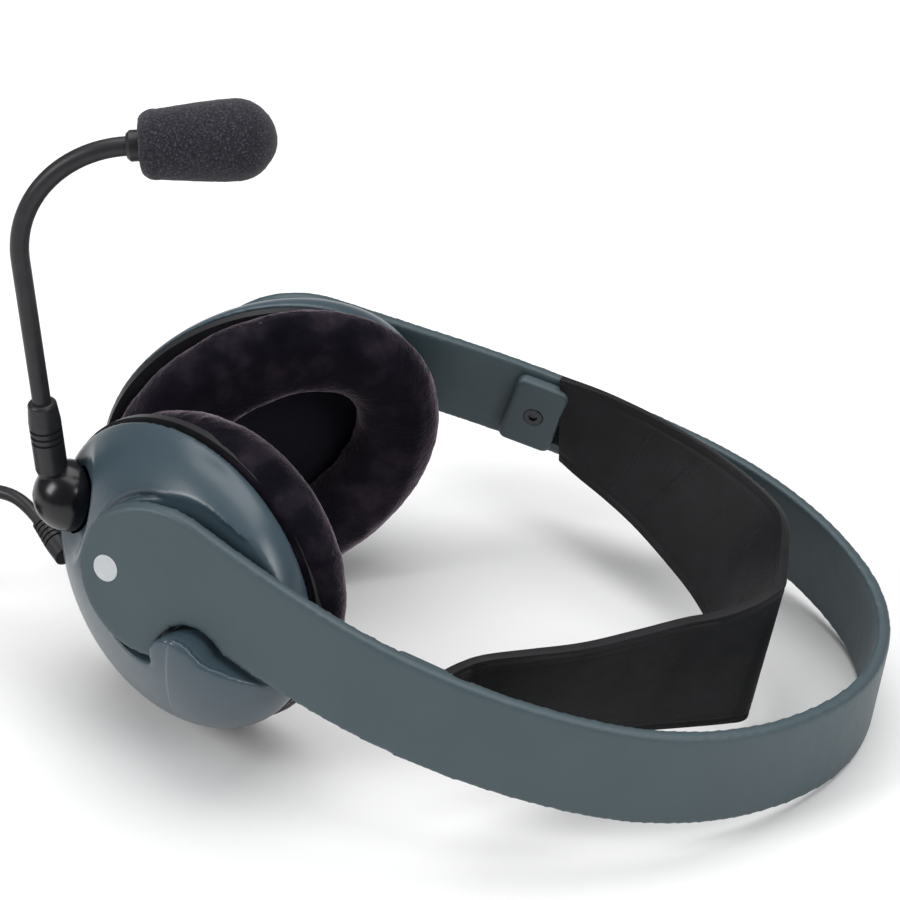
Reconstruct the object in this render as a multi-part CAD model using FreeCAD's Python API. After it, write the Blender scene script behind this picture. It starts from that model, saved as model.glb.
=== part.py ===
import FreeCAD, Part
import math
import os
from FreeCAD import Matrix, Placement, Rotation
from FreeCAD import Vector as V

# Communication headset with a boom microphone, lying on its side on a table.
# Millimetres. +Z is up, +X points to the crown of the headband, +Y to the right ear.
# The left ear cup, which carries the boom, is at -Y. Angles are in degrees.

# Headband hoop: a flat strip seen from above as tangent arcs from the crown to each ear
BAND_WIDTH = 25.0
BAND_THICK = 3.4
CROWN_REACH = 173.4            # crown apex from the hoop's own zero
LOW_LEVEL = -20.0              # level of the lower plan curve
CROWN_R_LOW, CROWN_TURN_LOW = 54.8, 35.9
SHOULDER_R_LOW, SHOULDER_TURN_LOW = 81.9, 40.0
SIDE_R_LOW, SIDE_TURN_LOW = 186.4, 20.9
LEG_R_LOW, LEG_TURN_LOW = 583.0, 7.6
TOP_LEVEL = 45.0               # level of the upper plan curve
CROWN_R_TOP, CROWN_TURN_TOP = 44.4, 30.5
SHOULDER_R_TOP, SHOULDER_TURN_TOP = 75.8, 48.5
SIDE_R_TOP, SIDE_TURN_TOP = 178.5, 21.6
LEG_R_TOP, LEG_TURN_TOP = 584.0, 7.3
SWEEP_R = 641.0                # rise of the strip towards the ears, seen from the side
SWEEP_START = 2.6              # its slope at the crown
BAND_TILT = 8.2                # the hoop leans down to the table at the crown
BAND_LIFT = 37.1

# Lobe over the ear, with its comma notch
LOBE_R = 18.1
LOBE_FROM_CROWN = 168.0
LOBE_DROP = 9.4                # lobe centre below the strip's own centre line
LOBE_BLEND_R = 25.0
NOTCH_R = 9.0
NOTCH_AHEAD = 13.5
NOTCH_BELOW = 15.2
NOTCH_CORNER_R = 1.6

# Cable that crosses from ear to ear inside the strip
CABLE_WIDTH = 3.6
CABLE_THICK = 1.2
CABLE_GAP = 0.1
CABLE_LEVEL = 5.0              # above the strip's centre line

# Ball joint between lobe and ear cup
PIVOT_DEPTH = 8.0              # ball centre below the middle of the lobe
STUD_BALL_R = 3.6
STUD_NECK_R = 1.9
STUD_FLANGE_R = 5.0
STUD_FLANGE_THICK = 0.6
BUSH_WALL = 1.75
BUSH_GAP = 0.05
BUSH_MOUTH = 54.0              # polar angle where the bush opens
BUSH_BACK = 125.0
SOCKET_MOUTH = 60.0
SOCKET_WALL = 2.6
RETAINER_THICK = 1.0

# Ear cup, in its own frame: x towards the crown, y up, z outward from the head
CUP_YAW = 25.5
CUP_PITCH = -6.0
PIVOT_X = 6.8
PIVOT_Y = 10.9
RIM_DEPTH = 21.5               # rim plane below the lobe's outer face
SHELL_R = 42.5
SHELL_SQUEEZE = 0.91
SHELL_TWIST = 10.0
SHELL_Y = 2.0
SHELL_HEIGHT = 25.0
SHELL_FULLNESS = 0.42
SHELL_LEAN_X = 0.54
SHELL_LEAN_Y = -0.06
SHELL_WALL = 2.0
RECESS_GAP = 1.7               # between the lobe and the recess in the shell
RECESS_DEPTH = 7.0             # floor of the recess below the lobe's outer face
RECESS_LEAN = V(0.185, 0.1, 1)  # the floor leans with the lobe
LEAST_YAW = -1.5               # limits of the cup's swing
MOST_PITCH = 3.0
SWING_GAP = 0.4                # least room that the shell leaves the hoop at those limits
BAFFLE_INSET = 1.6
BAFFLE_THICK = 1.6
RING_THICK = 2.0
RING_OVERHANG = 0.4
RING_HOLE_R = 27.0
BOSS_R = 3.0
BOSS_CIRCLE = 33.5
BOSS_ANGLES = (50.0, 118.0, 228.0, 315.0)
SCREW_R = 1.1
SCREW_HEAD_R = 2.2
SCREW_HEAD = 1.1
SCREW_LENGTH = 8.0

# Driver
DRIVER_R = 16.5
DRIVER_FLANGE_R = 18.5
DRIVER_FLANGE = 1.0
DRIVER_BASKET_R = 14.6
DRIVER_BASKET = 2.2
DRIVER_WALL = 1.0
MAGNET_R = 9.0
MAGNET_THICK = 1.6
DOME_THICK = 0.4
DOME_RISE = 1.2
DOME_R = 7.0
FOAM_THICK = 0.5
CLOTH_THICK = 0.6
FIT = 0.1                      # clearance of fixed pieces inside one cup

# Ear pad: turned section, then squeezed to its oval
PAD_LONG = 47.3
PAD_SHORT = 40.0
PAD_TWIST = 37.4
PAD_HEIGHT = 12.2
PAD_OPENING = 25.8
PAD_OPENING_SHORT = 17.0
PAD_FLARE = 8.0
PAD_CROWN_R = 6.0
PAD_SEAM = 4.8                 # height of the seam between skirt and velour
SKIRT_THICK = 1.2
SKIRT_FOOT = 42.9

# Strap under the crown, and the covers that hold its ends
STRAP_THICK = 2.4
STRAP_TOP = 50.3               # level of its top edge at the ends
STRAP_TOP_FALL = 0.1875
STRAP_BOTTOM = 25.3
STRAP_BOTTOM_FALL = 0.335
STRAP_GAP = 0.5
TOP_LEAN = 0.4                 # the ends of the edges stand this far inside the strap's anchor
FOOT_LEAN = 3.6
FOLD_X, FOLD_Y = 148.4, 0.0    # upper end of the fold under the crown
FOLD_FOOT_X, FOLD_FOOT_Y = 141.5, -9.0
COVER_FROM_CROWN = 101.5       # middle of the cover, along the hoop's own X
COVER_LENGTH = 14.5
COVER_HEIGHT = 21.5
COVER_THICK = 3.4
COVER_ROUND = 2.2
ELASTIC_THICK = 1.0
ELASTIC_HEIGHT = 17.0
ELASTIC_DEPTH = 9.0            # how far it reaches under the cover
ELASTIC_OUT = 5.0              # how far it shows past the cover
ELASTIC_IN_STRAP = 2.5
COVER_SCREW_R = 1.3
COVER_SCREW_HEAD_R = 2.5
COVER_SCREW_HEAD = 1.0
COVER_SCREW_BITE = 2.2

# Boom: ball, grip, gooseneck and microphone
BALL_R = 8.95
BALL_X = -32.5
BALL_Y = 13.5
BALL_Z = -15.0
BALL_AXIS = V(-0.25, 0.277, 0.928)
BALL_FLAT = 0.5                # the flat lies this far below the ball's centre
HUB_R = 8.2
HUB_GAP = 0.12
HUB_WALL = 2.6
HUB_ROOT = 9.0
PIN_R = 2.0
PIN_GAP = 0.05
PIN_HEAD_R = 3.8
PIN_HEAD = 1.3
PIN_REACH = 4.5
BOOM_HEADING = 17.0
BOOM_SET_BACK = 3.3
GRIP_R = 3.95
GRIP_TOP_R = 3.55
GRIP_FOOT = 6.5
GRIP_TOP = 27.2
GRIP_COLLAR = 5.4
GROOVE_WIDTH = 0.7
GROOVE_DEPTH = 0.45
GROOVES = (16.6, 18.3, 20.0)
NECK_R = 2.25
NECK_STRAIGHT = 65.6           # height where the arch starts, above the ball
NECK_ARCH_R = 27.6
COLLAR_R = 3.6
COLLAR_LENGTH = 2.8
MIC_R = 4.4
MIC_LENGTH = 15.0
MIC_WALL = 0.9
CAPSULE_LENGTH = 3.0
FOAM_R = 9.3
FOAM_LENGTH = 31.0
FOAM_BASE_R = 7.6
FOAM_START = 0.2               # foam begins this far past the collar's face

# Cord: strain relief on the left cup, lead, coil, tail and plug
CORD_R = 1.75
RELIEF_AT = V(-37.4, -6.6, -17.2)
RELIEF_AXIS = V(-0.936, 0.268, -0.228)
RELIEF_ROOT_R = 3.0
RELIEF_TIP_R = 2.3
RELIEF_LENGTH = 13.0
RELIEF_RINGS = 5
RELIEF_GROOVE = 0.6
COIL_MEAN_R = 19.5
COIL_GAP = 0.55
COIL_TURNS = 3                 # turns in each layer
COIL_LAYERS = 4
COIL_X = -118.0
COIL_Y = -22.0
LEAD_START = 8.0               # straight part behind the strain relief
LEAD = ((-51.1, -4.6, 43.1), (-61.5, -4.6, 41.7), (-71.5, -4.0, 36.2), (-79.5, -2.8, 26.7),
        (-86.5, -1.0, 16.2), (-95.0, 0.8, 7.2))
LEAD_RUN = 12.0                # straight part on the table before the coil
TAIL = ((-25.0, 20.0, 1.2), (-33.5, 11.5, 3.1), (-37.5, 0.0, 5.6))   # from the coil's centre, and its fall
TAIL_START = 13.0
TAIL_RUN = 8.0
PLUG_X = -38.0                 # cord end of the plug, from the coil's centre
PLUG_Y = -18.0
PLUG_BOOT = 12.0
PLUG_HANDLE_R = 6.2
PLUG_HANDLE = 26.0
PLUG_R = 3.56                  # four-conductor plug of 7.1 mm
PLUG_SLEEVE = 12.0
PLUG_RING = 3.4
PLUG_BREAK = 0.9
PLUG_TIP = 8.0
PLUG_SHOULDER = 1.2            # the round part of the tip before its neck

os.makedirs("parts", exist_ok=True)
UP = V(0, 0, 1)
WIDE = 400.0
NODES = {}


def unit(v):
    return v / v.Length


def line(a, b):
    return Part.LineSegment(a, b).toShape()


def arc(a, m, b):
    return Part.Arc(a, m, b).toShape()


def cylinder(radius, start, end):
    return Part.makeCylinder(radius, (end - start).Length, start, end - start)


def turned(points, centre=V(), axis=UP):
    """Solid turned round Z from (radius, height) points; a pair inside a point is an arc's middle."""
    edges = []
    last = V(points[0][0], 0, points[0][1])
    for point in list(points[1:]) + [points[0]]:
        if len(point) == 4:
            middle, end = V(point[0], 0, point[1]), V(point[2], 0, point[3])
            edges.append(arc(last, middle, end))
        else:
            end = V(point[0], 0, point[1])
            if (end - last).Length > 1e-6:
                edges.append(line(last, end))
        last = end
    solid = Part.Face(Part.Wire(edges)).revolve(V(), UP, 360)
    solid.Placement = Placement(centre, Rotation(UP, axis))
    return solid


def mirrored(shape):
    return shape.mirror(V(), V(0, 1, 0))


def largest(shape):
    return max(shape.Solids, key=lambda solid: solid.Volume)


# Plan of the hoop
PLAN_LOW = ((CROWN_R_LOW, CROWN_TURN_LOW), (SHOULDER_R_LOW, SHOULDER_TURN_LOW),
            (SIDE_R_LOW, SIDE_TURN_LOW), (LEG_R_LOW, LEG_TURN_LOW))
PLAN_TOP = ((CROWN_R_TOP, CROWN_TURN_TOP), (SHOULDER_R_TOP, SHOULDER_TURN_TOP),
            (SIDE_R_TOP, SIDE_TURN_TOP), (LEG_R_TOP, LEG_TURN_TOP))


def plan_point(plan, along, offset, level):
    """Point 'along' arcs away from the crown on the right leg, moved outward by offset."""
    x, y, heading = CROWN_REACH, 0.0, 90.0
    for number, (radius, turn) in enumerate(plan):
        part = min(max(along - number, 0.0), 1.0)
        a, b = math.radians(heading), math.radians(heading + turn * part)
        cx, cy = x - radius * math.sin(a), y + radius * math.cos(a)
        point = V(cx + (radius + offset) * math.sin(b), cy - (radius + offset) * math.cos(b), level)
        if along <= number + 1:
            return point
        x, y, heading = cx + radius * math.sin(b), cy - radius * math.cos(b), heading + turn
    return point


def plan_wire(plan, level, outside, inside):
    """Closed outline of the hoop at one level, between two offsets of its middle line."""
    def run(offset):
        right = [[plan_point(plan, k + step, offset, level) for step in (0, 0.5, 1)] for k in range(4)]
        left = [[V(p.x, -p.y, p.z) for p in reversed(points)] for points in reversed(right)]
        return [arc(*points) for points in left + right]
    outer, inner = run(outside), run(inside)
    a, b = inner[0].Vertexes[0].Point, outer[0].Vertexes[0].Point
    c, d = outer[-1].Vertexes[-1].Point, inner[-1].Vertexes[-1].Point
    return Part.Wire(outer + [line(c, d)] + list(reversed(inner)) + [line(a, b)])


def wall(outside, inside):
    """Leaning wall of the hoop between two offsets, taller than the strip."""
    return Part.makeLoft([plan_wire(PLAN_LOW, LOW_LEVEL, outside, inside),
                          plan_wire(PLAN_TOP, TOP_LEVEL, outside, inside)], True, True)


def wall_point(x, level, offset=0.0):
    """Point of the right leg at (x, level) in the hoop's frame, and the outward normal there."""
    share = (level - LOW_LEVEL) / (TOP_LEVEL - LOW_LEVEL)

    def at(along, off):
        return (plan_point(PLAN_LOW, along, off, LOW_LEVEL) * (1 - share)
                + plan_point(PLAN_TOP, along, off, TOP_LEVEL) * share)
    low, high = 0.0, 4.0
    for _ in range(50):
        middle = (low + high) / 2
        if at(middle, offset).x > x:
            low = middle
        else:
            high = middle
    along = at(low + 1e-3, offset) - at(low - 1e-3, offset)
    rise = plan_point(PLAN_TOP, low, offset, TOP_LEVEL) - plan_point(PLAN_LOW, low, offset, LOW_LEVEL)
    return at(low, offset), unit(along.cross(rise))


# Side view of the hoop
START = math.radians(SWEEP_START)
SWEEP_X = CROWN_REACH + SWEEP_R * math.sin(START)
SWEEP_Z = SWEEP_R * math.cos(START)


def strip_level(x, offset=0.0):
    return SWEEP_Z - math.sqrt((SWEEP_R - offset) ** 2 - (x - SWEEP_X) ** 2)


LOBE_X = CROWN_REACH - LOBE_FROM_CROWN
LOBE_Z = strip_level(LOBE_X) - LOBE_DROP


def circles_meet(c1, r1, c2, r2, side):
    """Crossing of two circles in the XZ plane, on the chosen side of the line between them."""
    apart = c2 - c1
    along = (r1 * r1 - r2 * r2 + apart.Length ** 2) / (2 * apart.Length)
    away = math.sqrt(r1 * r1 - along * along)
    across = V(-apart.z, 0, apart.x)
    return c1 + unit(apart) * along + unit(across) * away * side


def side_prism(gap, half_width=BAND_WIDTH / 2):
    """Lobe and strip seen from the side, grown by gap, as a block through the whole hoop."""
    lobe = V(LOBE_X, 0, LOBE_Z)
    centre = V(SWEEP_X, 0, SWEEP_Z)
    upper_r = SWEEP_R - half_width - gap
    blend_r, lobe_r, far = LOBE_BLEND_R + gap, LOBE_R + gap, CROWN_REACH + 12
    blend = circles_meet(centre, upper_r + blend_r, lobe, blend_r - lobe_r, 1)
    top = centre + unit(blend - centre) * upper_r
    left = blend + unit(lobe - blend) * blend_r
    over = blend + unit(unit(top - blend) + unit(left - blend)) * blend_r

    def edge(x, offset):
        return V(x, 0, strip_level(x, offset))
    high, low = half_width + gap, -half_width - gap
    tuck = LOBE_X + NOTCH_AHEAD
    wire = Part.Wire([
        arc(edge(far, high), edge((far + top.x) / 2, high), top),
        arc(top, over, left),
        line(left, lobe),
        line(lobe, edge(tuck, low)),
        arc(edge(tuck, low), edge((far + tuck) / 2, low), edge(far, low)),
        line(edge(far, low), edge(far, high))])
    side = V(0, WIDE, 0)
    block = Part.Face(wire).extrude(side)
    block = block.fuse(cylinder(lobe_r, lobe, lobe + side))
    notch = lobe + V(NOTCH_AHEAD, 0, -NOTCH_BELOW)
    block = block.cut(cylinder(NOTCH_R - gap, notch, notch + side)).removeSplitter()
    corners = [e for e in block.Edges if e.Length > WIDE - 1
               and abs((V(e.Vertexes[0].X, 0, e.Vertexes[0].Z) - notch).Length - NOTCH_R + gap) < 0.01]
    if corners:
        block = block.makeFillet(NOTCH_CORNER_R, corners)
    block.translate(side * -0.5)
    return block


BAND = Placement(V(0, 0, BAND_LIFT), Rotation(V(0, 1, 0), BAND_TILT))


def in_band(shape):
    shape = shape.copy()
    shape.transformShape(BAND.toMatrix())
    return shape


# Headband
HALF = BAND_THICK / 2
hoop = wall(HALF, -HALF).common(side_prism(0)).Solids[0]

# Places on the right leg, in the model's frame; the left leg mirrors them
lobe_middle, lobe_normal = wall_point(LOBE_X, LOBE_Z)
LOBE = BAND.multVec(lobe_middle)
LOBE_OUT = BAND.Rotation.multVec(lobe_normal)
PIVOT = LOBE - LOBE_OUT * PIVOT_DEPTH


def flip(v):
    return V(v.x, -v.y, v.z)


def ribbon(width, thick):
    """Ribbon through the middle of the strip, from lobe to lobe."""
    far = CROWN_REACH + 12
    near = LOBE_X + LOBE_R * 0.6

    def edge(x, offset):
        return V(x, -WIDE / 2, strip_level(x, offset))
    high, low = CABLE_LEVEL + width / 2, CABLE_LEVEL - width / 2
    wire = Part.Wire([
        arc(edge(far, high), edge((far + near) / 2, high), edge(near, high)),
        line(edge(near, high), edge(near, low)),
        arc(edge(near, low), edge((far + near) / 2, low), edge(far, low)),
        line(edge(far, low), edge(far, high))])
    return wall(thick / 2, -thick / 2).common(Part.Face(wire).extrude(V(0, WIDE, 0))).Solids[0]


hoop = hoop.cut(ribbon(CABLE_WIDTH + 2 * CABLE_GAP, CABLE_THICK + 2 * CABLE_GAP))
NODES["headband_cable"] = in_band(ribbon(CABLE_WIDTH, CABLE_THICK))
hoop = in_band(hoop)

# Studs under the lobes
BALL_REACH = PIVOT_DEPTH - HALF


def stud(centre, outward):
    foot = centre - outward * (HALF - 0.3)
    solid = cylinder(STUD_FLANGE_R, foot, foot - outward * (STUD_FLANGE_THICK + 0.3))
    solid = solid.fuse(cylinder(STUD_NECK_R, foot, centre - outward * PIVOT_DEPTH))
    ball = Part.makeSphere(STUD_BALL_R, centre - outward * PIVOT_DEPTH)
    return solid.fuse(ball).cut(hoop).removeSplitter()


NODES["right_pivot_stud"] = stud(LOBE, LOBE_OUT)
NODES["left_pivot_stud"] = stud(flip(LOBE), flip(LOBE_OUT))

# Covers and elastic on the inner faces of the legs
cover_x = CROWN_REACH - COVER_FROM_CROWN
cover_middle, cover_normal = wall_point(cover_x, strip_level(cover_x), -HALF)
slope = (strip_level(cover_x + 1) - strip_level(cover_x - 1)) / 2
COVER = BAND.multVec(cover_middle)
COVER_IN = BAND.Rotation.multVec(cover_normal) * -1
ALONG = BAND.Rotation.multVec(V(1, 0, slope))
ACROSS = unit(COVER_IN.cross(ALONG))
ALONG = unit(ACROSS.cross(COVER_IN))
COVER_FRAME = Placement(COVER, Rotation(ALONG, ACROSS, COVER_IN, "ZXY"))
SINK = 1.0                     # blocks start this far inside the strip and are cut by it


def on_cover(shape):
    shape = shape.copy()
    shape.transformShape(COVER_FRAME.toMatrix())
    return shape


def block(x0, x1, height, z0, z1):
    return Part.makeBox(x1 - x0, height, z1 - z0, V(x0, -height / 2, z0))


half_cover = COVER_LENGTH / 2
cover = block(-half_cover, half_cover, COVER_HEIGHT, -SINK, COVER_THICK)
upright = [e for e in cover.Edges if abs(e.tangentAt(e.FirstParameter).z) > 0.9]
cover = cover.makeFillet(COVER_ROUND, upright)
crown = [e for e in cover.Edges if min(v.Z for v in e.Vertexes) > COVER_THICK - 0.01]
cover = cover.makeFillet(COVER_ROUND * 0.5, crown)
pocket = block(half_cover - ELASTIC_DEPTH - FIT, half_cover + 1, ELASTIC_HEIGHT + 2 * FIT, -SINK,
               ELASTIC_THICK + 2 * FIT)
screw_foot = -COVER_SCREW_BITE
bore = Part.makeCylinder(COVER_SCREW_R, 20, V(0, 0, -10))
seat = Part.makeCylinder(COVER_SCREW_HEAD_R + FIT, 9, V(0, 0, COVER_THICK - COVER_SCREW_HEAD))
cover = cover.cut(pocket).cut(bore).cut(seat)
screw = Part.makeCylinder(COVER_SCREW_R, COVER_THICK - COVER_SCREW_HEAD - screw_foot, V(0, 0, screw_foot))
head = Part.makeCylinder(COVER_SCREW_HEAD_R, COVER_SCREW_HEAD, V(0, 0, COVER_THICK - COVER_SCREW_HEAD))
corner = V(COVER_SCREW_R, 0, COVER_THICK + 1)
socket = Part.makePolygon([Rotation(UP, 60 * k).multVec(corner) for k in range(7)])
socket = Part.Face(socket).extrude(V(0, 0, -1 - COVER_SCREW_HEAD * 0.6))
screw = screw.fuse(head).cut(socket).removeSplitter()
elastic = block(half_cover - ELASTIC_DEPTH, half_cover, ELASTIC_HEIGHT, FIT, FIT + ELASTIC_THICK)
elastic = elastic.cut(Part.makeCylinder(COVER_SCREW_R + 2 * FIT, 20, V(0, 0, -10)))
mouth = [V(half_cover, y, z) for y, z in ((-0.5, 0), (0.5, 0), (0.5, 1), (-0.5, 1))]
mouth = [V(p.x, p.y * ELASTIC_HEIGHT, FIT + p.z * ELASTIC_THICK) for p in mouth]
screw_hole = Part.makeCylinder(COVER_SCREW_R, 10, V(0, 0, screw_foot))

cover = largest(on_cover(cover).cut(hoop))
elastic = on_cover(elastic)
screw = on_cover(screw)
hoop = hoop.cut(on_cover(screw_hole)).cut(mirrored(on_cover(screw_hole)))
NODES["headband"] = hoop
NODES["right_strap_cover"] = cover
NODES["left_strap_cover"] = mirrored(cover)
NODES["strap_cover_screws"] = Part.makeCompound([screw, mirrored(screw)])

# Strap under the crown: a leaning band of leather with one fold
strap_end = COVER_FRAME.multVec(V(half_cover + ELASTIC_OUT, 0, STRAP_GAP + STRAP_THICK / 2))
TOP_PATH = ((94.0, 60.0), (109.4, 54.6), (125.0, 46.4), (138.9, 35.4), (145.2, 26.0), (147.6, 10.0),
            (148.0, 5.0), (FOLD_X, FOLD_Y), (146.4, -4.5), (143.2, -9.2), (137.0, -15.6), (129.6, -21.6),
            (119.8, -31.1), (109.7, -40.4), (99.3, -47.5), (88.5, -53.2), (84.5, -56.0))
FOOT_PATH = ((86.5, 56.2), (95.0, 51.0), (104.2, 44.3), (115.0, 34.2), (123.5, 25.0), (131.0, 14.0),
             (136.8, 3.0), (FOLD_FOOT_X, FOLD_FOOT_Y), (137.5, -12.5), (132.5, -16.5), (126.0, -21.5),
             (119.0, -27.0), (110.0, -35.0), (101.5, -42.5), (94.0, -48.5), (87.0, -53.5), (84.0, -56.0))


def strap_level(x, top):
    if top:
        return STRAP_TOP - STRAP_TOP_FALL * (x - strap_end.x)
    return STRAP_BOTTOM - STRAP_BOTTOM_FALL * (x - strap_end.x)


def strap_outline(path, top, lean):
    """Closed outline of the strap along one of its edges: arcs through every other point."""
    end_y = strap_end.y - lean
    points = [V(x, y, 0) for x, y in [(strap_end.x, end_y)] + list(path) + [(strap_end.x, -end_y)]]
    sides = []
    for shift in (STRAP_THICK / 2, -STRAP_THICK / 2):
        row = []
        for k, p in enumerate(points):
            ahead, behind = points[min(k + 1, len(points) - 1)], points[max(k - 1, 0)]
            along = unit(ahead - behind)
            q = p + V(along.y, -along.x, 0) * shift
            row.append(V(q.x, q.y, strap_level(q.x, top)))
        sides.append([arc(row[k], row[k + 1], row[k + 2]) for k in range(0, len(row) - 2, 2)])
        sides[-1].append((row[0], row[-1]))
    (left, right) = sides
    caps = [line(left[-1][1], right[-1][1]), line(right[-1][0], left[-1][0])]
    return Part.Wire(left[:-1] + caps[:1] + list(reversed(right[:-1])) + caps[1:])


strap = Part.makeLoft([strap_outline(FOOT_PATH, False, FOOT_LEAN), strap_outline(TOP_PATH, True, TOP_LEAN)],
                      True, True)

# Elastic from the cover's mouth into the end of the strap
top = V(strap_end.x, strap_end.y - TOP_LEAN, strap_level(strap_end.x, True))
foot = V(strap_end.x, strap_end.y - FOOT_LEAN, strap_level(strap_end.x, False))
rise = unit(top - foot) * ELASTIC_HEIGHT / 2
middle = (top + foot) / 2 + V(ELASTIC_IN_STRAP, 0, 0)
side = unit(V(1, 0, 0).cross(rise)) * ELASTIC_THICK / 2
if side.y < 0:
    side = side * -1
near_end = [COVER_FRAME.multVec(p) for p in mouth]
far_end = [middle - rise + side, middle + rise + side, middle + rise - side, middle - rise - side]
if (near_end[0] - far_end[0]).Length > (near_end[1] - far_end[0]).Length:
    near_end = [near_end[1], near_end[0], near_end[3], near_end[2]]
sections = [Part.makePolygon(points + points[:1]) for points in (near_end, far_end)]
elastic = elastic.fuse(Part.makeLoft(sections, True, True)).cut(hoop)
NODES["right_elastic"] = elastic
NODES["left_elastic"] = mirrored(elastic)
NODES["head_strap"] = strap.cut(elastic).cut(mirrored(elastic))

# Ear cup
CUP_TURN = Rotation(UP, -CUP_YAW).multiply(Rotation(V(1, 0, 0), 90 + CUP_PITCH))
CUP_OUT = CUP_TURN.multVec(UP)
PIVOT_LEFT = flip(PIVOT)
TILT = flip(LOBE_OUT).dot(CUP_OUT)
PIVOT_IN_CUP = V(PIVOT_X, PIVOT_Y, -(PIVOT_DEPTH + HALF) * TILT)
CUP = Placement(PIVOT_LEFT - CUP_TURN.multVec(PIVOT_IN_CUP), CUP_TURN)
LOBE_IN_CUP = CUP.inverse().multVec(flip(LOBE))


def in_cup(shape):
    shape = shape.copy()
    shape.transformShape(CUP.toMatrix())
    return shape


def squeezed(shape, ratio, twist, centre, lean=(0.0, 0.0)):
    """Turned shape made oval, turned in its plane, leaned with height, and moved to its centre."""
    a = math.radians(twist)
    c, s = math.cos(a), math.sin(a)
    matrix = Matrix(c, -s * ratio, lean[0], centre.x,
                    s, c * ratio, lean[1], centre.y,
                    0, 0, 1, centre.z)
    return shape.transformGeometry(matrix)


def dome(inset):
    """Shell's outer form, drawn in by inset: one curve turned round, then made oval and leaned."""
    r, h, k = SHELL_R - inset, SHELL_HEIGHT - inset, SHELL_FULLNESS
    curve = Part.BezierCurve()
    curve.setPoles([V(r, 0, 0), V(r, 0, k * h), V(k * r, 0, h), V(0, 0, h)])
    section = Part.Face(Part.Wire([curve.toShape(), line(V(0, 0, h), V()), line(V(), V(r, 0, 0))]))
    return squeezed(section.revolve(V(), UP, 360), SHELL_SQUEEZE, SHELL_TWIST, V(0, SHELL_Y, -RIM_DEPTH),
                    (SHELL_LEAN_X, SHELL_LEAN_Y))


def oval(radius, inset, z0, z1):
    """Flat oval plate that follows the shell's rim, at an inset from an oval of this radius."""
    ring = Part.Ellipse(V(), radius - inset, radius * SHELL_SQUEEZE - inset).toShape()
    plate = Part.Face(Part.Wire([ring])).extrude(V(0, 0, z1 - z0))
    plate.Placement = Placement(V(0, SHELL_Y, z0), Rotation(UP, SHELL_TWIST))
    return plate


def upright(radius, x, y, z0, z1):
    return Part.makeCylinder(radius, z1 - z0, V(x, y, z0))


def recess(gap, level):
    """Room for the lobe and the strip, grown by gap, above a floor that leans with the lobe."""
    tool = side_prism(gap)
    tool.translate(V(-LOBE_X, 0, -LOBE_Z))
    turn = Rotation(UP, -BAND_TILT).multiply(Rotation(V(1, 0, 0), -90))
    tool.transformShape(Placement(LOBE_IN_CUP, turn).toMatrix())
    above = Part.makeBox(2 * WIDE, 2 * WIDE, WIDE, V(-WIDE, -WIDE, 0))
    above.Placement = Placement(V(LOBE_IN_CUP.x, LOBE_IN_CUP.y, level), Rotation(UP, RECESS_LEAN))
    return tool.common(above)


BUSH_R = STUD_BALL_R + BUSH_GAP + BUSH_WALL
SOCKET_R = BUSH_R + BUSH_GAP
px, py, pz = PIVOT_IN_CUP
socket_top = pz + SOCKET_R * math.cos(math.radians(SOCKET_MOUTH))
socket_foot = pz - BUSH_R - 0.6
BAFFLE_FACE = -RIM_DEPTH - BAFFLE_THICK
RING_FACE = BAFFLE_FACE - RING_THICK
SCREW_PLACES = [(BOSS_CIRCLE * math.cos(math.radians(a)),
                 SHELL_Y + BOSS_CIRCLE * SHELL_SQUEEZE * math.sin(math.radians(a))) for a in BOSS_ANGLES]

outer = dome(0)
room = recess(RECESS_GAP, -RECESS_DEPTH)
inner = dome(SHELL_WALL).cut(recess(RECESS_GAP + SHELL_WALL, -RECESS_DEPTH - SHELL_WALL))
shell = outer.cut(room)
bosses = [upright(BOSS_R, x, y, -RIM_DEPTH, 0).common(shell) for x, y in SCREW_PLACES]
shell = shell.cut(inner)
shell = shell.fuse(bosses + [upright(SOCKET_R + SOCKET_WALL, px, py, socket_foot, socket_top)])
shell = shell.cut(Part.makeSphere(SOCKET_R, PIVOT_IN_CUP))
shell = shell.cut(upright(SOCKET_R, px, py, socket_foot - 1, pz))
for x, y in SCREW_PLACES:
    shell = shell.cut(upright(SCREW_R, x, y, -RIM_DEPTH - 1, -RIM_DEPTH + SCREW_LENGTH + 1))

# The cup swings under the hoop, so the shell gives way to a slightly larger hoop at its limits
larger = wall(HALF + SWING_GAP, -HALF - SWING_GAP).common(side_prism(SWING_GAP)).Solids[0]
leg = in_band(larger).common(Part.makeBox(WIDE, WIDE, WIDE, V(-WIDE / 2, -WIDE, -WIDE / 2)))
for yaw in (0, LEAST_YAW):
    for pitch in (-MOST_PITCH, 0, MOST_PITCH):
        swung = leg.copy()
        swung.transformShape(CUP.inverse().toMatrix())
        swung.rotate(PIVOT_IN_CUP, V(0, 1, 0), -yaw)
        swung.rotate(PIVOT_IN_CUP, V(1, 0, 0), -pitch)
        shell = shell.cut(swung)

# Bush and retainer of the ball joint
inside = STUD_BALL_R + BUSH_GAP


def polar(radius, angle):
    a = math.radians(angle)
    return radius * math.sin(a), radius * math.cos(a)


middle = (BUSH_MOUTH + BUSH_BACK) / 2
bush = turned([polar(inside, BUSH_MOUTH), polar(inside, middle) + polar(inside, BUSH_BACK),
               polar(BUSH_R, BUSH_BACK), polar(BUSH_R, middle) + polar(BUSH_R, BUSH_MOUTH)], PIVOT_IN_CUP)
retainer = upright(SOCKET_R, px, py, socket_foot, pz - SOCKET_R * 0.5)
rim_foot = socket_foot - RETAINER_THICK
retainer = retainer.fuse(upright(SOCKET_R + SOCKET_WALL * 0.8, px, py, rim_foot, socket_foot))
retainer = retainer.cut(Part.makeSphere(SOCKET_R, PIVOT_IN_CUP)).removeSplitter()

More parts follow.
